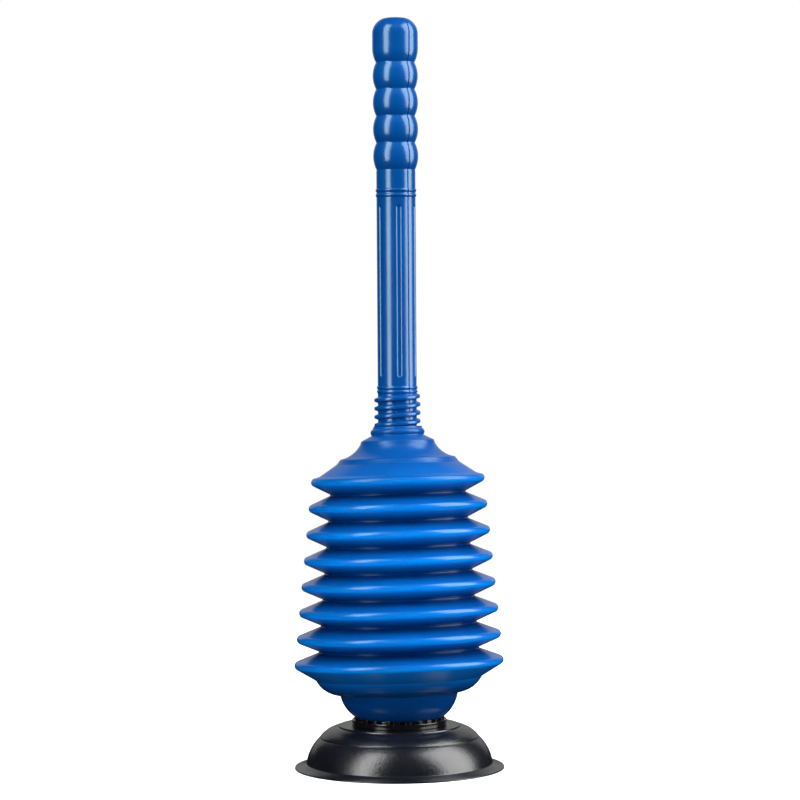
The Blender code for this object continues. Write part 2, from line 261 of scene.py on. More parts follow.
def inner_side(outer, wall):
    """The outline one wall thickness inside an outline that is drawn downwards."""
    points = [Vector(point) for point in outer]
    ways = [(b - a).normalized() for a, b in zip(points, points[1:])]
    normals = [Vector((way.y, -way.x)) for way in ways]
    inner = [points[0] + Vector((wall / normals[0].x, 0))]
    for point, above, below in zip(points[1:-1], normals, normals[1:]):
        mitre = (above + below).normalized()
        inner.append(point + mitre * wall / mitre.dot(above))
    inner.append(points[-1] + Vector((wall / normals[-1].x, 0)))
    return [tuple(point) for point in inner]


def thinned(points, tolerance):
    """Drops the points of a line that stay within a tolerance of the straight way."""
    start, end = points[0], points[-1]
    if len(points) < 3:
        return [start, end]
    way = end - start
    across = np.array((-way[1], way[0])) / np.linalg.norm(way)
    off = np.abs((points - start) @ across)
    worst = int(off.argmax())
    if off[worst] < tolerance:
        return [start, end]
    return thinned(points[: worst + 1], tolerance)[:-1] + thinned(points[worst:], tolerance)


def soften(outline, width, tolerance=0.01):
    """Rounds the corners of an outline, as a mould's are, and keeps its two ends."""
    points = np.array(outline, float)
    lengths = np.linalg.norm(np.diff(points, axis=0), axis=1)
    along = np.concatenate(([0.0], np.cumsum(lengths)))
    spacing = width / 5
    steps = np.linspace(0.0, along[-1], int(along[-1] / spacing) + 2)
    dense = np.column_stack([np.interp(steps, along, points[:, axis]) for axis in (0, 1)])
    reach = min(15, len(dense) - 1)
    weights = np.exp(-0.5 * (np.arange(-reach, reach + 1) * spacing / width) ** 2)
    weights /= weights.sum()
    before = 2 * dense[0] - dense[reach:0:-1]
    after = 2 * dense[-1] - dense[-2 : -reach - 2 : -1]
    padded = np.vstack((before, dense, after))
    smooth = np.column_stack([np.convolve(padded[:, axis], weights, "valid") for axis in (0, 1)])
    half = len(smooth) // 2
    line = thinned(smooth[: half + 1], tolerance)[:-1] + thinned(smooth[half:], tolerance)
    return [tuple(point) for point in line]


def soft_rectangle(inner_radius, outer_radius, bottom, top, width=0.2):
    """The closed outline of a flat ring with rounded edges."""
    middle = ((inner_radius + outer_radius) / 2, top)
    corners = [
        middle,
        (outer_radius, top),
        (outer_radius, bottom),
        (inner_radius, bottom),
        (inner_radius, top),
        middle,
    ]
    return soften(corners, width)


def crest_at(index):
    """Radius and height of a crest, counted down from the top."""
    share = index / (CRESTS - 1)
    return tuple(Vector(TOP_CREST).lerp(Vector(BOTTOM_CREST), share))


def valley_below(index):
    """Radius and height of the valley under a crest."""
    share = index / (CRESTS - 2)
    radius = TOP_VALLEY_RADIUS + (BOTTOM_VALLEY_RADIUS - TOP_VALLEY_RADIUS) * share
    return radius, (crest_at(index)[1] + crest_at(index + 1)[1]) / 2


def valley(radius, height, from_angle, to_angle, steps=6):
    """The rounded bottom of a valley, between two angles above the horizontal, drawn downwards."""
    angles = [from_angle + (to_angle - from_angle) * step / steps for step in range(steps + 1)]
    middle = radius + VALLEY_ROUND
    return [(middle - VALLEY_ROUND * math.cos(a), height + VALLEY_ROUND * math.sin(a)) for a in angles]


def valley_top(index):
    return valley(*valley_below(index), FLANK_ANGLE, 0)


def valley_bottom(index):
    return valley(*valley_below(index), 0, -FLANK_ANGLE)


# Meshes


def strip(outline, segments, offset=None):
    """Vertices and faces of an outline turned about +Z. offset pushes the surface outwards."""
    points = np.array(outline, float)
    angles = np.arange(segments) * math.tau / segments
    radius = np.repeat(points[:, :1], segments, axis=1)
    height = np.repeat(points[:, 1:], segments, axis=1)
    if offset:
        way = np.gradient(points, axis=0)
        normal = np.column_stack((-way[:, 1], way[:, 0]))
        normal /= np.linalg.norm(normal, axis=1)[:, None]
        push = offset(radius, height, angles[None, :])
        radius = radius + push * normal[:, :1]
        height = height + push * normal[:, 1:]
    vertices = np.stack((radius * np.cos(angles), radius * np.sin(angles), height), axis=-1)
    here = np.arange(len(points) * segments).reshape(len(points), segments)
    beside = np.roll(here, -1, axis=1)
    faces = np.stack((here[:-1], here[1:], beside[1:], beside[:-1]), axis=-1)
    return vertices.reshape(-1, 3), faces.reshape(-1, 4)


def swept(outline, stations):
    """A closed outline carried through stations of (angle, rise, scale) about +Z, with flat ends."""
    points = np.array(outline, float)
    centre = points.mean(axis=0)
    rings = []
    for angle, rise, scale in stations:
        ring = centre + (points - centre) * scale
        x, y = ring[:, 0] * math.cos(angle), ring[:, 0] * math.sin(angle)
        rings.append(np.column_stack((x, y, ring[:, 1] + rise)))
    count = len(points)
    here = np.arange(len(rings) * count).reshape(len(rings), count)
    beside = np.roll(here, -1, axis=1)
    sides = np.stack((here[:-1], here[1:], beside[1:], beside[:-1]), axis=-1)
    faces = sides.reshape(-1, 4).tolist()
    return np.vstack(rings), faces + [here[0].tolist(), here[-1].tolist()]


def build(name, parts, material):
    """Joins strips into one smooth-shaded object in metres."""
    vertices, faces, first = [], [], 0
    for part_vertices, part_faces in parts:
        vertices.extend(np.asarray(part_vertices) * MM)
        faces.extend([[first + int(index) for index in face] for face in part_faces])
        first += len(part_vertices)
    mesh = bpy.data.meshes.new(name)
    mesh.from_pydata([tuple(vertex) for vertex in vertices], [], faces)
    bm = bmesh.new()
    bm.from_mesh(mesh)
    bmesh.ops.remove_doubles(bm, verts=bm.verts, dist=2e-6)
    bmesh.ops.dissolve_degenerate(bm, edges=bm.edges, dist=1e-7)
    bmesh.ops.recalc_face_normals(bm, faces=bm.faces)
    bm.to_mesh(mesh)
    bm.free()
    mesh.shade_smooth()
    mesh.set_sharp_from_angle(angle=SHARP_ANGLE)
    mesh.materials.append(material)
    obj = bpy.data.objects.new(name, mesh)
    bpy.context.scene.collection.objects.link(obj)
    return obj


def ring_block(outline, middle, half_angle, round_angle):
    """A block that follows a ring: an outline carried from one angle to another, with soft ends."""
    ends = [(0.0, 0.82), (0.3, 0.94), (1.0, 1.0)]
    stations = [(middle - half_angle + share * round_angle, 0.0, scale) for share, scale in ends]
    stations += [(middle + half_angle - share * round_angle, 0.0, s) for share, s in ends[::-1]]
    return swept(outline, stations)


def cut_ports(target, bottom, top):
    """Cuts the ring of round vent ports through a piece."""
    for index in range(PORTS):
        angle = math.tau * (index + 0.5) / PORTS
        centre = Vector((math.cos(angle), math.sin(angle), 0)) * PORT_CIRCLE_RADIUS
        centre.z = (bottom + top) / 2
        mesh = bpy.data.meshes.new("port")
        bm = bmesh.new()
        bmesh.ops.create_cone(
            bm,
            cap_ends=True,
            segments=24,
            radius1=PORT_RADIUS * MM,
            radius2=PORT_RADIUS * MM,
            depth=(top - bottom) * MM,
            matrix=Matrix.Translation(centre * MM),
        )
        bm.to_mesh(mesh)
        bm.free()
        tool = bpy.data.objects.new("port", mesh)
        bpy.context.scene.collection.objects.link(tool)
        modifier = target.modifiers.new("port", "BOOLEAN")
        modifier.operation = "DIFFERENCE"
        modifier.solver = "EXACT"
        modifier.object = tool
        depsgraph = bpy.context.evaluated_depsgraph_get()
        target.data = bpy.data.meshes.new_from_object(target.evaluated_get(depsgraph))
        target.modifiers.clear()
        bpy.data.objects.remove(tool, do_unlink=True)


# Handle


def parting_groove(radius, height, angle):
    """The fine groove that the two halves of the mould leave, on both sides and over the top."""
    distance = np.abs(radius * np.sin(angle - PARTING_ANGLE))
    return -PARTING_DEPTH * np.clip(1 - distance / PARTING_HALF_WIDTH, 0, 1)


def handle_relief(radius, height, angle):
    """Flutes with round ends along the shaft, and the parting groove."""
    low, high = FLUTE_ENDS
    pitch = math.tau / FLUTES
    around = (angle - FLUTE_ANGLE + pitch / 2) % pitch - pitch / 2
    beyond = np.clip(low - height, 0, None) + np.clip(height - high, 0, None)
    distance = np.hypot(around * SHAFT_RADIUS, beyond) / FLUTE_HALF_WIDTH
    down = np.clip((1 - distance) / FLUTE_WALL_SHARE, 0, 1)
    flutes = -FLUTE_DEPTH * down * down * (3 - 2 * down)
    return np.minimum(flutes, parting_groove(radius, height, angle))


def handle_outline():
    outline = [(0.0, HANDLE_TOP)]
    outline += arc(outline[-1], (9.5, HANDLE_TOP - 1.0), 0.2)
    outline += arc(outline[-1], (KNOB_RADIUS, KNOB_TOP_SIDE), 2.5)
    outline.append((KNOB_RADIUS, KNOB_BOTTOM_SIDE))
    outline += arc(outline[-1], (GRIP_NOTCH_RADIUS, GRIP_NOTCHES[0]), 0.7)
    for height in GRIP_NOTCHES[1:] + (GRIP_BOTTOM,):
        outline += arc(outline[-1], (GRIP_NOTCH_RADIUS, height), GRIP_BULGE)
    outline.append((SHAFT_RADIUS, GRIP_BOTTOM - 1.0))
    for height in SHAFT_RIDGES:
        outline.append((SHAFT_RADIUS, height + RIDGE_HALF_HEIGHT))
        outline += arc(outline[-1], (SHAFT_RADIUS, height - RIDGE_HALF_HEIGHT), RIDGE_BULGE)
    outline.append((SHAFT_RADIUS, HANDLE_BOTTOM + 0.5))
    return outline


def with_flute_rings(outline):
    """Adds the rings that the round ends of the flutes need."""
    reach = FLUTE_HALF_WIDTH * 1.05
    extra = np.concatenate([np.linspace(end - reach, end + reach, 15) for end in FLUTE_ENDS])
    rings = outline + [(SHAFT_RADIUS, height) for height in extra]
    return sorted(rings, key=lambda point: -point[1])


def thread_ridge():
    """The raised thread: a rounded ridge wound up the shaft, fading out at both ends."""
    crest_half, root_half = THREAD_CREST_HALF_WIDTH, THREAD_ROOT_HALF_WIDTH
    foot = SHAFT_RADIUS - THREAD_FOOT_SINK
    profile = [
        (foot, root_half + 0.9),
        (SHAFT_RADIUS + 0.1, root_half + 0.2),
        (THREAD_CREST_RADIUS, crest_half),
        (THREAD_CREST_RADIUS, -crest_half),
        (SHAFT_RADIUS + 0.1, -root_half - 0.2),
        (foot, -root_half - 0.9),
    ]
    smooth = np.array(soften(profile, 0.28, 0.02))
    steps = round(THREAD_TURNS * THREAD_STEPS)
    fade_steps = THREAD_STEPS * THREAD_FADE_TURNS
    rings, count = [], len(smooth)
    for step in range(steps + 1):
        angle = math.tau * step / THREAD_STEPS
        height = THREAD_BOTTOM + THREAD_LEAD * step / THREAD_STEPS
        fade = min(1.0, min(step, steps - step) / fade_steps)
        fade = fade * fade * (3 - 2 * fade)
        radius = foot + (smooth[:, 0] - foot) * fade
        x, y = radius * math.cos(angle), radius * math.sin(angle)
        rings.append(np.column_stack((x, y, smooth[:, 1] + height)))
    here = np.arange(len(rings) * count).reshape(len(rings), count)
    faces = np.stack((here[:-1, :-1], here[1:, :-1], here[1:, 1:], here[:-1, 1:]), axis=-1)
    return np.vstack(rings), faces.reshape(-1, 4)


def handle_moulding(plastic):
    skin = with_flute_rings(soften(handle_outline(), 0.3))
    core = [
        skin[-1],
        (SHAFT_RADIUS - 0.5, HANDLE_BOTTOM),
        (HANDLE_BORE_RADIUS, HANDLE_BOTTOM),
        (HANDLE_BORE_RADIUS, HANDLE_BORE_TOP),
        (HANDLE_BORE_RADIUS - 5.0, HANDLE_TOP - 5.6),
        (0.0, HANDLE_TOP - 3.6),
    ]
    parts = [
        strip(skin, HANDLE_SEGMENTS, handle_relief),
        strip(core, HANDLE_SEGMENTS),
        thread_ridge(),
    ]
    piece = build("handle_moulding", parts, plastic)
    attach(piece, "handle")
    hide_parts("handle")


def end_plug(plastic):
    bottom, top = PLUG_FLANGE
    outline = [
        (0.0, bottom + PLUG_WALL),
        (PLUG_SPIGOT_RADIUS - PLUG_WALL, bottom + PLUG_WALL),
        (PLUG_SPIGOT_RADIUS - PLUG_WALL, PLUG_SPIGOT_TOP),
        (PLUG_SPIGOT_RADIUS, PLUG_SPIGOT_TOP),
        (PLUG_SPIGOT_RADIUS, top),
        (PLUG_FLANGE_RADIUS, top),
        (PLUG_FLANGE_RADIUS, bottom),
        (0.0, bottom),
    ]
    piece = build("end_plug_moulding", [strip(soften(outline, 0.15), HIDDEN_SEGMENTS)], plastic)
    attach(piece, "plug")
    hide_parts("handle_end_plug")


# Bellows


def female_thread(radius, height, angle):
    """The groove in the neck that the handle's thread runs in, as a push into the wall."""
    turns = (height - THREAD_BOTTOM) / THREAD_LEAD - angle / math.tau
    distance = np.abs((turns + 0.5) % 1 - 0.5) * THREAD_LEAD
    full = THREAD_CREST_RADIUS + THREAD_PLAY - NECK_BORE_RADIUS
    crest_half = THREAD_CREST_HALF_WIDTH + THREAD_PLAY
    slope = THREAD_ROOT_HALF_WIDTH - THREAD_CREST_HALF_WIDTH
    return full * np.clip(1 - (distance - crest_half) / slope, 0, 1)


def bend_with_bellows(piece):
    """Bakes a piece's placement into its mesh."""
    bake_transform(piece)


def set_askew(piece):
    """Tilts the rings of a bellows piece, less and less below the bowl's lower step.

    The bore that the handle screws into stays square to the handle.
    """
    for vertex in piece.data.vertices:
        share = (vertex.co.z / MM - LEAN_FROM) / (LEAN_FULL - LEAN_FROM)
        slope = vertex.co.x * LEAN[0] + vertex.co.y * LEAN[1]
        if vertex.co.xy.length / MM > NECK_BORE_REACH:
            vertex.co.z += slope * clamped(share)


def flank_painted_shade(inward, growth_and_start):
    """How far a flank is towards the painted shade blue, at a share of the fold's depth."""
    growth, start = growth_and_start
    return clamped(growth * inward + start)


def painted_light_and_shade_at(radius, height):
    """The painted light and shade at a place on the bellows: 1 is the palest painted light, 0 is plain
    and -1 is the deepest painted shade.
    """
    index = min(range(CRESTS), key=lambda crest_index: abs(crest_at(crest_index)[1] - height))
    crest_radius, crest_height = crest_at(index)
    beyond = math.dist((radius, height), (crest_radius - CREST_ROUND, crest_height)) - CREST_ROUND
    above = (height - crest_height) / CREST_ROUND
    painted_light = clamped(1 - beyond / EDGE_PAINTED_LIGHT_FADE) * clamped(EDGE_PAINTED_LIGHT_SHARE - above)
    inward = (crest_radius - radius) / FOLD_DEPTH
    if height < BOWL_STEP_1[1] - BOWL_PAINTED_SHADE_DROP:
        painted_light = BOWL_PAINTED_LIGHT_SHARE
        painted_shade = clamped((BOWL_STEP_1[1] - height) / BOWL_PAINTED_SHADE_FADE)
    elif height > TOP_CREST[1]:
        painted_shade = SHOULDER_PAINTED_SHADE * clamped((height - TOP_CREST[1]) / SHOULDER_PAINTED_SHADE_FADE)
    elif index == CRESTS - 1 and above < 0:
        painted_shade = 0.0
        painted_light = max(painted_light, UNDERSIDE_PAINTED_LIGHT_SHARE)
    elif above > 0:
        painted_shade = flank_painted_shade(inward, UPPER_FLANK_PAINTED_SHADE)
    else:
        painted_shade = flank_painted_shade(inward, LOWER_FLANK_PAINTED_SHADE)
    return painted_light - painted_shade * (1 - painted_light)


def store_painted_light_and_shade(piece):
    """Stores the painted light and shade of each vertex."""
    marks = piece.data.attributes.new("painted_light_and_shade", "FLOAT", "POINT")
    for vertex, mark in zip(piece.data.vertices, marks.data):
        mark.value = painted_light_and_shade_at(vertex.co.xy.length / MM, vertex.co.z / MM)


def bellows_piece(name, parts, plastic, node):
    piece = build(name, parts, plastic)
    store_painted_light_and_shade(piece)
    set_askew(piece)
    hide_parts(node)
    return piece


def neck_moulding(plastic):
    """Neck, shoulder and top crest, down to the first valley."""
    seam = valley_below(0)
    neck = [
        (NECK_BEAD_RADIUS - 2.6, NECK_TOP),
        (NECK_BEAD_RADIUS - 2.1, NECK_TOP - 0.5),
        (NECK_BEAD_RADIUS - 2.1, NECK_TOP - 1.6),
        (NECK_BEAD_RADIUS - 1.4, NECK_TOP - 2.1),
        (NECK_BEAD_RADIUS - 0.5, NECK_TOP - 2.9),
        (NECK_BEAD_RADIUS, NECK_TOP - 4.4),
        (NECK_BEAD_RADIUS - 0.3, NECK_TOP - 5.8),
        (NECK_BEAD_RADIUS - 0.9, NECK_TOP - 6.8),
        (NECK_BEAD_RADIUS - 0.6, NECK_TOP - 7.4),
        (NECK_BEAD_RADIUS + 0.9, NECK_TOP - 8.1),
        SHOULDER_STEP_1,
        (SHOULDER_STEP_1[0] + 0.7, SHOULDER_STEP_1[1] - 2.4),
    ]
    crest_line = crest(*TOP_CREST)
    skirt = arc(neck[-1], SHOULDER_STEP_2, -2.4) + arc(SHOULDER_STEP_2, crest_line[0], -2.7)
    skirt += crest_line[1:] + valley_top(0)
    coarse = [neck[-1], SHOULDER_STEP_2] + crest_line[::4] + [seam]
    inner = inner_side(coarse, BELLOWS_WALL)
    heights = [NECK_TOP - NECK_BORE_RING_STEP * step for step in range(NECK_BORE_RINGS)]
    bore = [(NECK_BORE_RADIUS, height) for height in heights]
    under = [bore[-1], (NECK_INNER_RADIUS, NECK_BORE_BOTTOM)] + inner[1:] + [seam]
    parts = [
        strip(soften(neck + skirt, 0.3), BELLOWS_SEGMENTS),
        strip([neck[0], bore[0]], BELLOWS_SEGMENTS),
        strip(bore, BELLOWS_SEGMENTS, female_thread),
        strip(under, BELLOWS_SEGMENTS),
    ]
    piece = bellows_piece("bellows_neck_moulding", parts, plastic, "bellows_neck")
    bend_with_bellows(piece)


def fold_mouldings(plastic):
    """The crests between the first and the last, each from valley to valley."""
    for index in range(1, CRESTS - 1):
        top, bottom = valley_below(index - 1), valley_below(index)
        crest_line = crest(*crest_at(index))
        skin = soften(valley_bottom(index - 1) + crest_line + valley_top(index), 0.25)
        inner = inner_side([top] + crest_line[::3] + crest_line[-1:] + [bottom], BELLOWS_WALL)
        loop = [top] + inner + [bottom]
        parts = [strip(skin, BELLOWS_SEGMENTS), strip(loop, BELLOWS_SEGMENTS)]
        piece = bellows_piece(f"bellows_fold_{index}", parts, plastic, "bellows_folds")
        bend_with_bellows(piece)


def bowl_moulding(plastic):
    """The bottom crest, the bowl in two tiers and the outlet neck."""
    seam = valley_below(CRESTS - 2)
    crest_line = crest(*BOTTOM_CREST)
    wall = valley_bottom(CRESTS - 2) + crest_line + [BOWL_STEP_1]
    tiers = arc(BOWL_STEP_1, BOWL_STEP_2, 3.3) + arc(BOWL_STEP_2, BOWL_BOTTOM, 2.3)
    outlet = [
        (OUTLET_OUTER_RADIUS, BOWL_BOTTOM[1]),
        (OUTLET_OUTER_RADIUS, OUTLET_BOTTOM),
        (OUTLET_INNER_RADIUS, OUTLET_BOTTOM),
        (OUTLET_INNER_RADIUS, BOWL_BOTTOM[1] + BELLOWS_WALL),
    ]
    coarse = [seam] + crest_line[::4] + crest_line[-1:] + [BOWL_STEP_1] + tiers[3::6]
    inner = inner_side(coarse, BELLOWS_WALL)
    inner[-1] = (inner[-1][0], BOWL_BOTTOM[1] + BELLOWS_WALL)
    skin = soften(wall + tiers + outlet, 0.35)
    parts = [
        strip(skin, BELLOWS_SEGMENTS),
        strip([outlet[-1]] + inner[::-1] + [seam], BELLOWS_SEGMENTS),
    ]
    piece = bellows_piece("bellows_bowl_moulding", parts, plastic, "bellows_bowl")
    bend_with_bellows(piece)


# Base


def collar_moulding(plastic):
    outline = [
        (CROWN_RADIUS, COLLAR_TOP),
        (COLLAR_RADIUS, COLLAR_TOP),
        (COLLAR_RADIUS, COLLAR_BOTTOM),
        (OUTLET_HOLE_RADIUS, COLLAR_BOTTOM),
        (OUTLET_HOLE_RADIUS, CROWN_TOP),
        (COLLAR_HUB_RADIUS, CROWN_TOP),
        (COLLAR_HUB_RADIUS, COLLAR_FLOOR_TOP),
        (COLLAR_CHAMBER_RADIUS, COLLAR_FLOOR_TOP),
        (COLLAR_CHAMBER_RADIUS, COLLAR_TOP),
        (CROWN_RADIUS, COLLAR_TOP),
    ]
    parts = [strip(soften(outline, 0.22), CUP_SEGMENTS)]
    tooth = soft_rectangle(
        COLLAR_CHAMBER_RADIUS + 0.1, CROWN_RADIUS - 0.1, COLLAR_TOP - 0.6, CROWN_TOP
    )[:-1]
    pitch = math.tau / CROWN_TEETH
    for index in range(CROWN_TEETH):
        parts.append(ring_block(tooth, (index + 0.75) * pitch, pitch / 4, pitch / 20))
    piece = build("collar_moulding", parts, plastic)
    cut_ports(piece, COLLAR_BOTTOM - 1, COLLAR_FLOOR_TOP + 1)
    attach(piece, "cup")
    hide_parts("vent_collar")


def flap_ring(rubber):
    outline = soft_rectangle(FLAP_INNER_RADIUS, FLAP_OUTER_RADIUS, FLAP_BOTTOM, FLAP_TOP)
    piece = build("flap_ring", [strip(outline, HIDDEN_SEGMENTS)], rubber)
    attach(piece, "flap")
    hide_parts("valve_flap")


def cup_moulding(rubber):
    top = [
        (OUTLET_HOLE_RADIUS, CUP_TOP),
        (CUP_SHOULDER[0] - 1.0, CUP_TOP),
        (CUP_SHOULDER[0] - 0.2, CUP_TOP - 0.2),
        (CUP_SHOULDER[0], CUP_TOP - 1.3),
        CUP_SHOULDER,
    ]
    dome = arc(CUP_SHOULDER, CUP_STEP, 1.7)
    dome += [(CUP_STEP[0] - 0.1, CUP_STEP[1] - 0.9), (CUP_STEP[0] + 0.6, CUP_STEP[1] - 0.8)]
    dome += arc(dome[-1], CUP_FOOT, 2.0)
    lip = arc(CUP_FOOT, CUP_LIP, -0.6) + [(CUP_LIP[0], 0.0)]
    inner = [(CUP_RIM_INNER_RADIUS, 0.0)]
    inner += arc(inner[0], (CUP_CEILING_RADIUS, CUP_CEILING), -7.0)
    inner.append((OUTLET_HOLE_RADIUS, CUP_CEILING))
    outer = soften(top + dome + lip, 0.15)
    under = soften([outer[-1]] + inner, 0.3)
    parts = [
        strip(outer, CUP_SEGMENTS),
        strip(under, CUP_SEGMENTS),
        strip([under[-1], outer[0]], CUP_SEGMENTS),
    ]
    piece = build("cup_moulding", parts, rubber)
    cut_ports(piece, CUP_CEILING - 1, CUP_TOP + 1)
    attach(piece, "cup")
    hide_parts("rubber_cup")


def slip_washer(plastic):
    outline = soft_rectangle(RING_HOLE_RADIUS, WASHER_RADIUS, WASHER_BOTTOM, WASHER_TOP)
    piece = build("slip_washer", [strip(outline, HIDDEN_SEGMENTS)], plastic)
    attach(piece, "cup")
    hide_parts("cup_washer")


def nut_moulding(plastic):
    ring = soft_rectangle(RING_HOLE_RADIUS, NUT_RADIUS, NUT_BOTTOM, NUT_TOP)
    parts = [strip(ring, HIDDEN_SEGMENTS)]
    lug = soft_rectangle(NUT_RADIUS - 0.6, NUT_LUG_RADIUS, NUT_BOTTOM + 0.1, NUT_LUG_TOP)[:-1]
    pitch = math.tau / NUT_LUGS
    half_angle = math.radians(NUT_LUG_ANGLE) / 2
    for index in range(NUT_LUGS):
        parts.append(ring_block(lug, index * pitch + half_angle, half_angle, half_angle / 5))
    piece = build("nut_moulding", parts, plastic)
    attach(piece, "cup")
    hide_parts("ring_nut")


# Materials


def surface(name, colour, roughness, specular, ior=1.5):
    """A new material: its node tree, its shader and the object coordinates."""
    result = bpy.data.materials.new(name)
    result.use_nodes = True
    tree = result.node_tree
    shader = tree.nodes["Principled BSDF"]
    shader.inputs["Base Color"].default_value = (*colour, 1.0)
    shader.inputs["Roughness"].default_value = roughness
    shader.inputs["Specular IOR Level"].default_value = specular
    shader.inputs["IOR"].default_value = ior
    place = tree.nodes.new("ShaderNodeTexCoord").outputs["Object"]
    return result, tree, shader, place


def noise(tree, place, scale, detail=3.0, stretch=(1, 1, 1)):
    """A noise pattern whose features are about one over scale metres wide."""
    mapping = tree.nodes.new("ShaderNodeMapping")
    mapping.inputs["Scale"].default_value = stretch
    tree.links.new(place, mapping.inputs["Vector"])
    texture = tree.nodes.new("ShaderNodeTexNoise")
    texture.inputs["Scale"].default_value = scale
    texture.inputs["Detail"].default_value = detail
    tree.links.new(mapping.outputs["Vector"], texture.inputs["Vector"])
    return texture.outputs["Fac"]


def ranged(tree, value, low, high, to_low, to_high):
    """Maps a value from one range to another, with clamped ends."""
    node = tree.nodes.new("ShaderNodeMapRange")
    for socket, number in zip(node.inputs[1:5], (low, high, to_low, to_high)):
        socket.default_value = number
    tree.links.new(value, node.inputs["Value"])
    return node.outputs["Result"]


def mixed_colour(tree, factor, first, second):
    node = tree.nodes.new("ShaderNodeMix")
    node.data_type = "RGBA"
    node.inputs["A"].default_value = (*first, 1.0)
    node.inputs["B"].default_value = (*second, 1.0)
    tree.links.new(factor, node.inputs["Factor"])
    return node.outputs["Result"]


def bumps(tree, shader, layers):
    """Chains bump layers of (height, strength, depth in metres) into the shader."""
    last = None
    for height, strength, depth in layers:
        node = tree.nodes.new("ShaderNodeBump")
        node.inputs["Strength"].default_value = strength
        node.inputs["Distance"].default_value = depth
        tree.links.new(height, node.inputs["Height"])
        if last:
            tree.links.new(last, node.inputs["Normal"])
        last = node.outputs["Normal"]
    tree.links.new(last, shader.inputs["Normal"])


def scaled(colour, factor):
    return tuple(channel * factor for channel in colour)


def blue_plastic(name, blue, flow_stretch, roughness, specular=1.0):
    """Blow-moulded polyethylene: even colour, faint flow lines, orange peel and small scuffs, with
    painted light and painted shade from the marks on the bellows' vertices.
    """
    result, tree, shader, place = surface(name, blue, roughness, specular)
    shader.inputs["Specular Tint"].default_value = BLUE_GLOSS_TINT
    clouds = noise(tree, place, scale=28, detail=4)
    colour = mixed_colour(
        tree, ranged(tree, clouds, 0.35, 0.65, 0, 1), scaled(blue, 0.93), scaled(blue, 1.06)
    )
    # Painted light and painted shade, mixed in from the mark stored on each bellows vertex
    painted_light_and_shade = tree.nodes.new("ShaderNodeAttribute")
    painted_light_and_shade.attribute_name = "painted_light_and_shade"
    painted_light_share = ranged(tree, painted_light_and_shade.outputs["Fac"], 0, 1, 0, 1)
    painted_shade_share = ranged(tree, painted_light_and_shade.outputs["Fac"], 0, -1, 0, 1)
    with_painted_light = mixed_colour(tree, painted_light_share, blue, PAINTED_LIGHT_BLUE)
    tree.links.new(colour, with_painted_light.node.inputs["A"])
    with_painted_shade = mixed_colour(tree, painted_shade_share, blue, PAINTED_SHADE_BLUE)
    tree.links.new(with_painted_light, with_painted_shade.node.inputs["A"])
    tree.links.new(with_painted_shade, shader.inputs["Base Color"])
    scuffs = noise(tree, place, scale=170, detail=6, stretch=flow_stretch)
    rough = ranged(tree, scuffs, 0.42, 0.68, roughness, roughness + 0.05)
    tree.links.new(rough, shader.inputs["Roughness"])
    orange_peel = noise(tree, place, scale=150, detail=1)
    flow_lines = noise(tree, place, scale=420, detail=1, stretch=flow_stretch)
    bumps(tree, shader, [(orange_peel, 0.08, 0.0001), (flow_lines, 0.08, 0.00004)])
    return result


def black_plastic(name, roughness):
    """Injection-moulded black plastic with duller patches and a fine unevenness."""
    result, tree, shader, place = surface(name, BLACK, roughness, 1.0)
    patches = noise(tree, place, scale=120, detail=4)
    rough = ranged(tree, patches, 0.4, 0.65, roughness, roughness + 0.08)
    tree.links.new(rough, shader.inputs["Roughness"])
    colour = mixed_colour(tree, patches, scaled(BLACK, 0.8), scaled(BLACK, 1.4))
    tree.links.new(colour, shader.inputs["Base Color"])
    unevenness = noise(tree, place, scale=700)
    bumps(tree, shader, [(unevenness, 0.15, 0.0001)])
    return result


def black_rubber(name, roughness):
    """Satin rubber with a fine grain and a trace of bloom."""
    result, tree, shader, place = surface(name, RUBBER, roughness, 0.75, 1.6)
    bloom = noise(tree, place, scale=60, detail=6)
    grain = noise(tree, place, scale=900)
    colour = mixed_colour(
        tree, ranged(tree, bloom, 0.4, 0.75, 0, 1), scaled(RUBBER, 0.8), scaled(RUBBER, 1.7)
    )
    tree.links.new(colour, shader.inputs["Base Color"])
    rough = ranged(tree, grain, 0.35, 0.65, roughness, roughness + 0.05)
    tree.links.new(rough, shader.inputs["Roughness"])
    pebbles = noise(tree, place, scale=420)
    bumps(tree, shader, [(pebbles, 0.7, 0.0002), (grain, 1.0, 0.00012)])
    return result


# Stage


def aim(obj, place, target):
    obj.location = place
    obj.rotation_euler = (Vector(target) - Vector(place)).to_track_quat("-Z", "Y").to_euler()


def soft_box(
    name,
    azimuth,
    elevation,
    distance,
    size,
    watts,
    in_reflections=True,
    spread=180,
    target_height=LAMP_TARGET_HEIGHT,
):
    """An area light. Azimuth 0 is the camera's side and positive is to the right."""
    lamp = bpy.data.lights.new(name, "AREA")
    lamp.shape = "RECTANGLE"
    lamp.size, lamp.size_y = size
    lamp.energy = watts
    lamp.spread = math.radians(spread)
    obj = bpy.data.objects.new(name, lamp)
    bpy.context.scene.collection.objects.link(obj)
    a, e = math.radians(azimuth), math.radians(elevation)
    way = Vector((math.sin(a) * math.cos(e), -math.cos(a) * math.cos(e), math.sin(e)))
    target = Vector((0, 0, target_height))
    aim(obj, target + way * distance, target)
    obj.visible_glossy = in_reflections
    obj.visible_camera = False


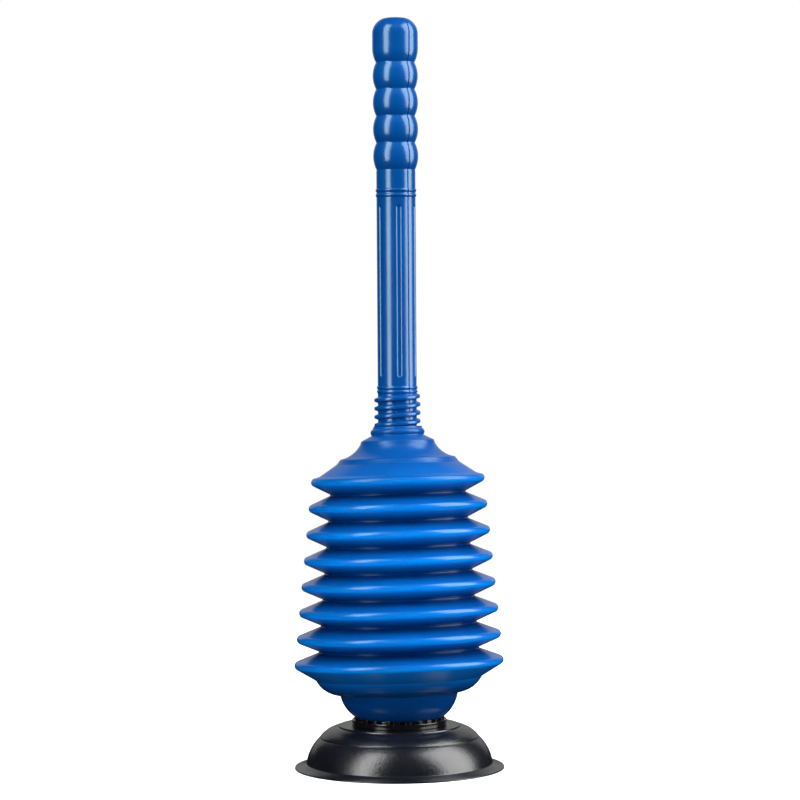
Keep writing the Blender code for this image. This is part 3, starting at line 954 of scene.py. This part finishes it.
def lights():
    soft_box("left_box", azimuth=-46, elevation=25, distance=1.7, size=(0.75, 2.4), watts=29)
    soft_box("right_box", azimuth=79, elevation=25, distance=1.7, size=(1.6, 2.4), watts=56)
    soft_box("back_panel", azimuth=180, elevation=20, distance=2.2, size=(3.0, 2.0), watts=8)
    soft_box(
        "high_fill",
        azimuth=0,
        elevation=55,
        distance=2.2,
        size=(1.6, 1.0),
        watts=17,
        in_reflections=False,
    )
    soft_box(
        "bellows_fill",
        azimuth=0,
        elevation=0,
        distance=1.3,
        size=(0.8, 0.1),
        watts=0.25,
        in_reflections=False,
        spread=14,
        target_height=BELLOWS_MIDDLE,
    )
    soft_box(
        "ceiling",
        azimuth=0,
        elevation=90,
        distance=2.9,
        size=(4.0, 4.0),
        watts=20,
        in_reflections=False,
    )


def studio_world():
    """A nearly black grey all round, and plain white where the camera looks past the floor."""
    world = bpy.data.worlds.new("studio")
    bpy.context.scene.world = world
    world.use_nodes = True
    tree = world.node_tree
    background = tree.nodes["Background"]
    white = tree.nodes.new("ShaderNodeBackground")
    background.inputs["Color"].default_value = WORLD_GREY
    white.inputs["Color"].default_value = WHITE
    chooser = tree.nodes.new("ShaderNodeMixShader")
    path = tree.nodes.new("ShaderNodeLightPath")
    tree.links.new(path.outputs["Is Camera Ray"], chooser.inputs["Fac"])
    tree.links.new(background.outputs["Background"], chooser.inputs[1])
    tree.links.new(white.outputs["Background"], chooser.inputs[2])
    tree.links.new(chooser.outputs["Shader"], tree.nodes["World Output"].inputs["Surface"])


def floor():
    """A pale round floor that gives its own light but adds none to the object."""
    bm = bmesh.new()
    bmesh.ops.create_circle(bm, cap_ends=True, segments=96, radius=FLOOR_RADIUS)
    mesh = bpy.data.meshes.new("floor")
    bm.to_mesh(mesh)
    bm.free()
    paint = bpy.data.materials.new("floor_paint")
    paint.use_nodes = True
    shader = paint.node_tree.nodes["Principled BSDF"]
    shader.inputs["Base Color"].default_value = FLOOR_PAINT
    shader.inputs["Roughness"].default_value = 0.9
    shader.inputs["Specular IOR Level"].default_value = 0.1
    shader.inputs["Emission Color"].default_value = WHITE
    shader.inputs["Emission Strength"].default_value = FLOOR_GLOW
    mesh.materials.append(paint)
    obj = bpy.data.objects.new("floor", mesh)
    bpy.context.scene.collection.objects.link(obj)
    obj.visible_glossy = False
    obj.visible_diffuse = False


def camera():
    """A long lens a little above half the object's height, looking slightly down."""
    lens = bpy.data.cameras.new("camera")
    lens.sensor_width = SENSOR_MM
    lens.lens = LENS_MM
    lens.clip_end = 100.0
    obj = bpy.data.objects.new("camera", lens)
    bpy.context.scene.collection.objects.link(obj)
    look_down = Euler((math.radians(90 - CAMERA_DOWN), 0, 0)).to_matrix()
    roll = Matrix.Rotation(math.radians(CAMERA_ROLL), 3, "Z")
    obj.rotation_euler = (look_down @ roll).to_euler()
    obj.location = CAMERA_PLACE
    bpy.context.scene.camera = obj


def main():
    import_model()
    bellows = blue_plastic("bellows_blue", BELLOWS_BLUE, BELLOWS_FLOW, 0.215, specular=0.75)
    handle_moulding(blue_plastic("handle_blue", HANDLE_BLUE, HANDLE_FLOW, 0.2))
    neck_moulding(blue_plastic("shoulder_blue", BELLOWS_BLUE, BELLOWS_FLOW, 0.28, specular=0.5))
    fold_mouldings(bellows)
    bowl_moulding(bellows)
    gloss_black = black_plastic("collar_black", 0.13)
    inner_black = black_plastic("inner_black", 0.35)
    collar_moulding(gloss_black)
    nut_moulding(inner_black)
    slip_washer(inner_black)
    end_plug(inner_black)
    cup_moulding(black_rubber("cup_rubber_satin", 0.22))
    flap_ring(black_rubber("flap_rubber_matte", 0.6))
    floor()
    lights()
    studio_world()
    camera()
    bpy.context.scene.view_settings.view_transform = "Standard"


main()
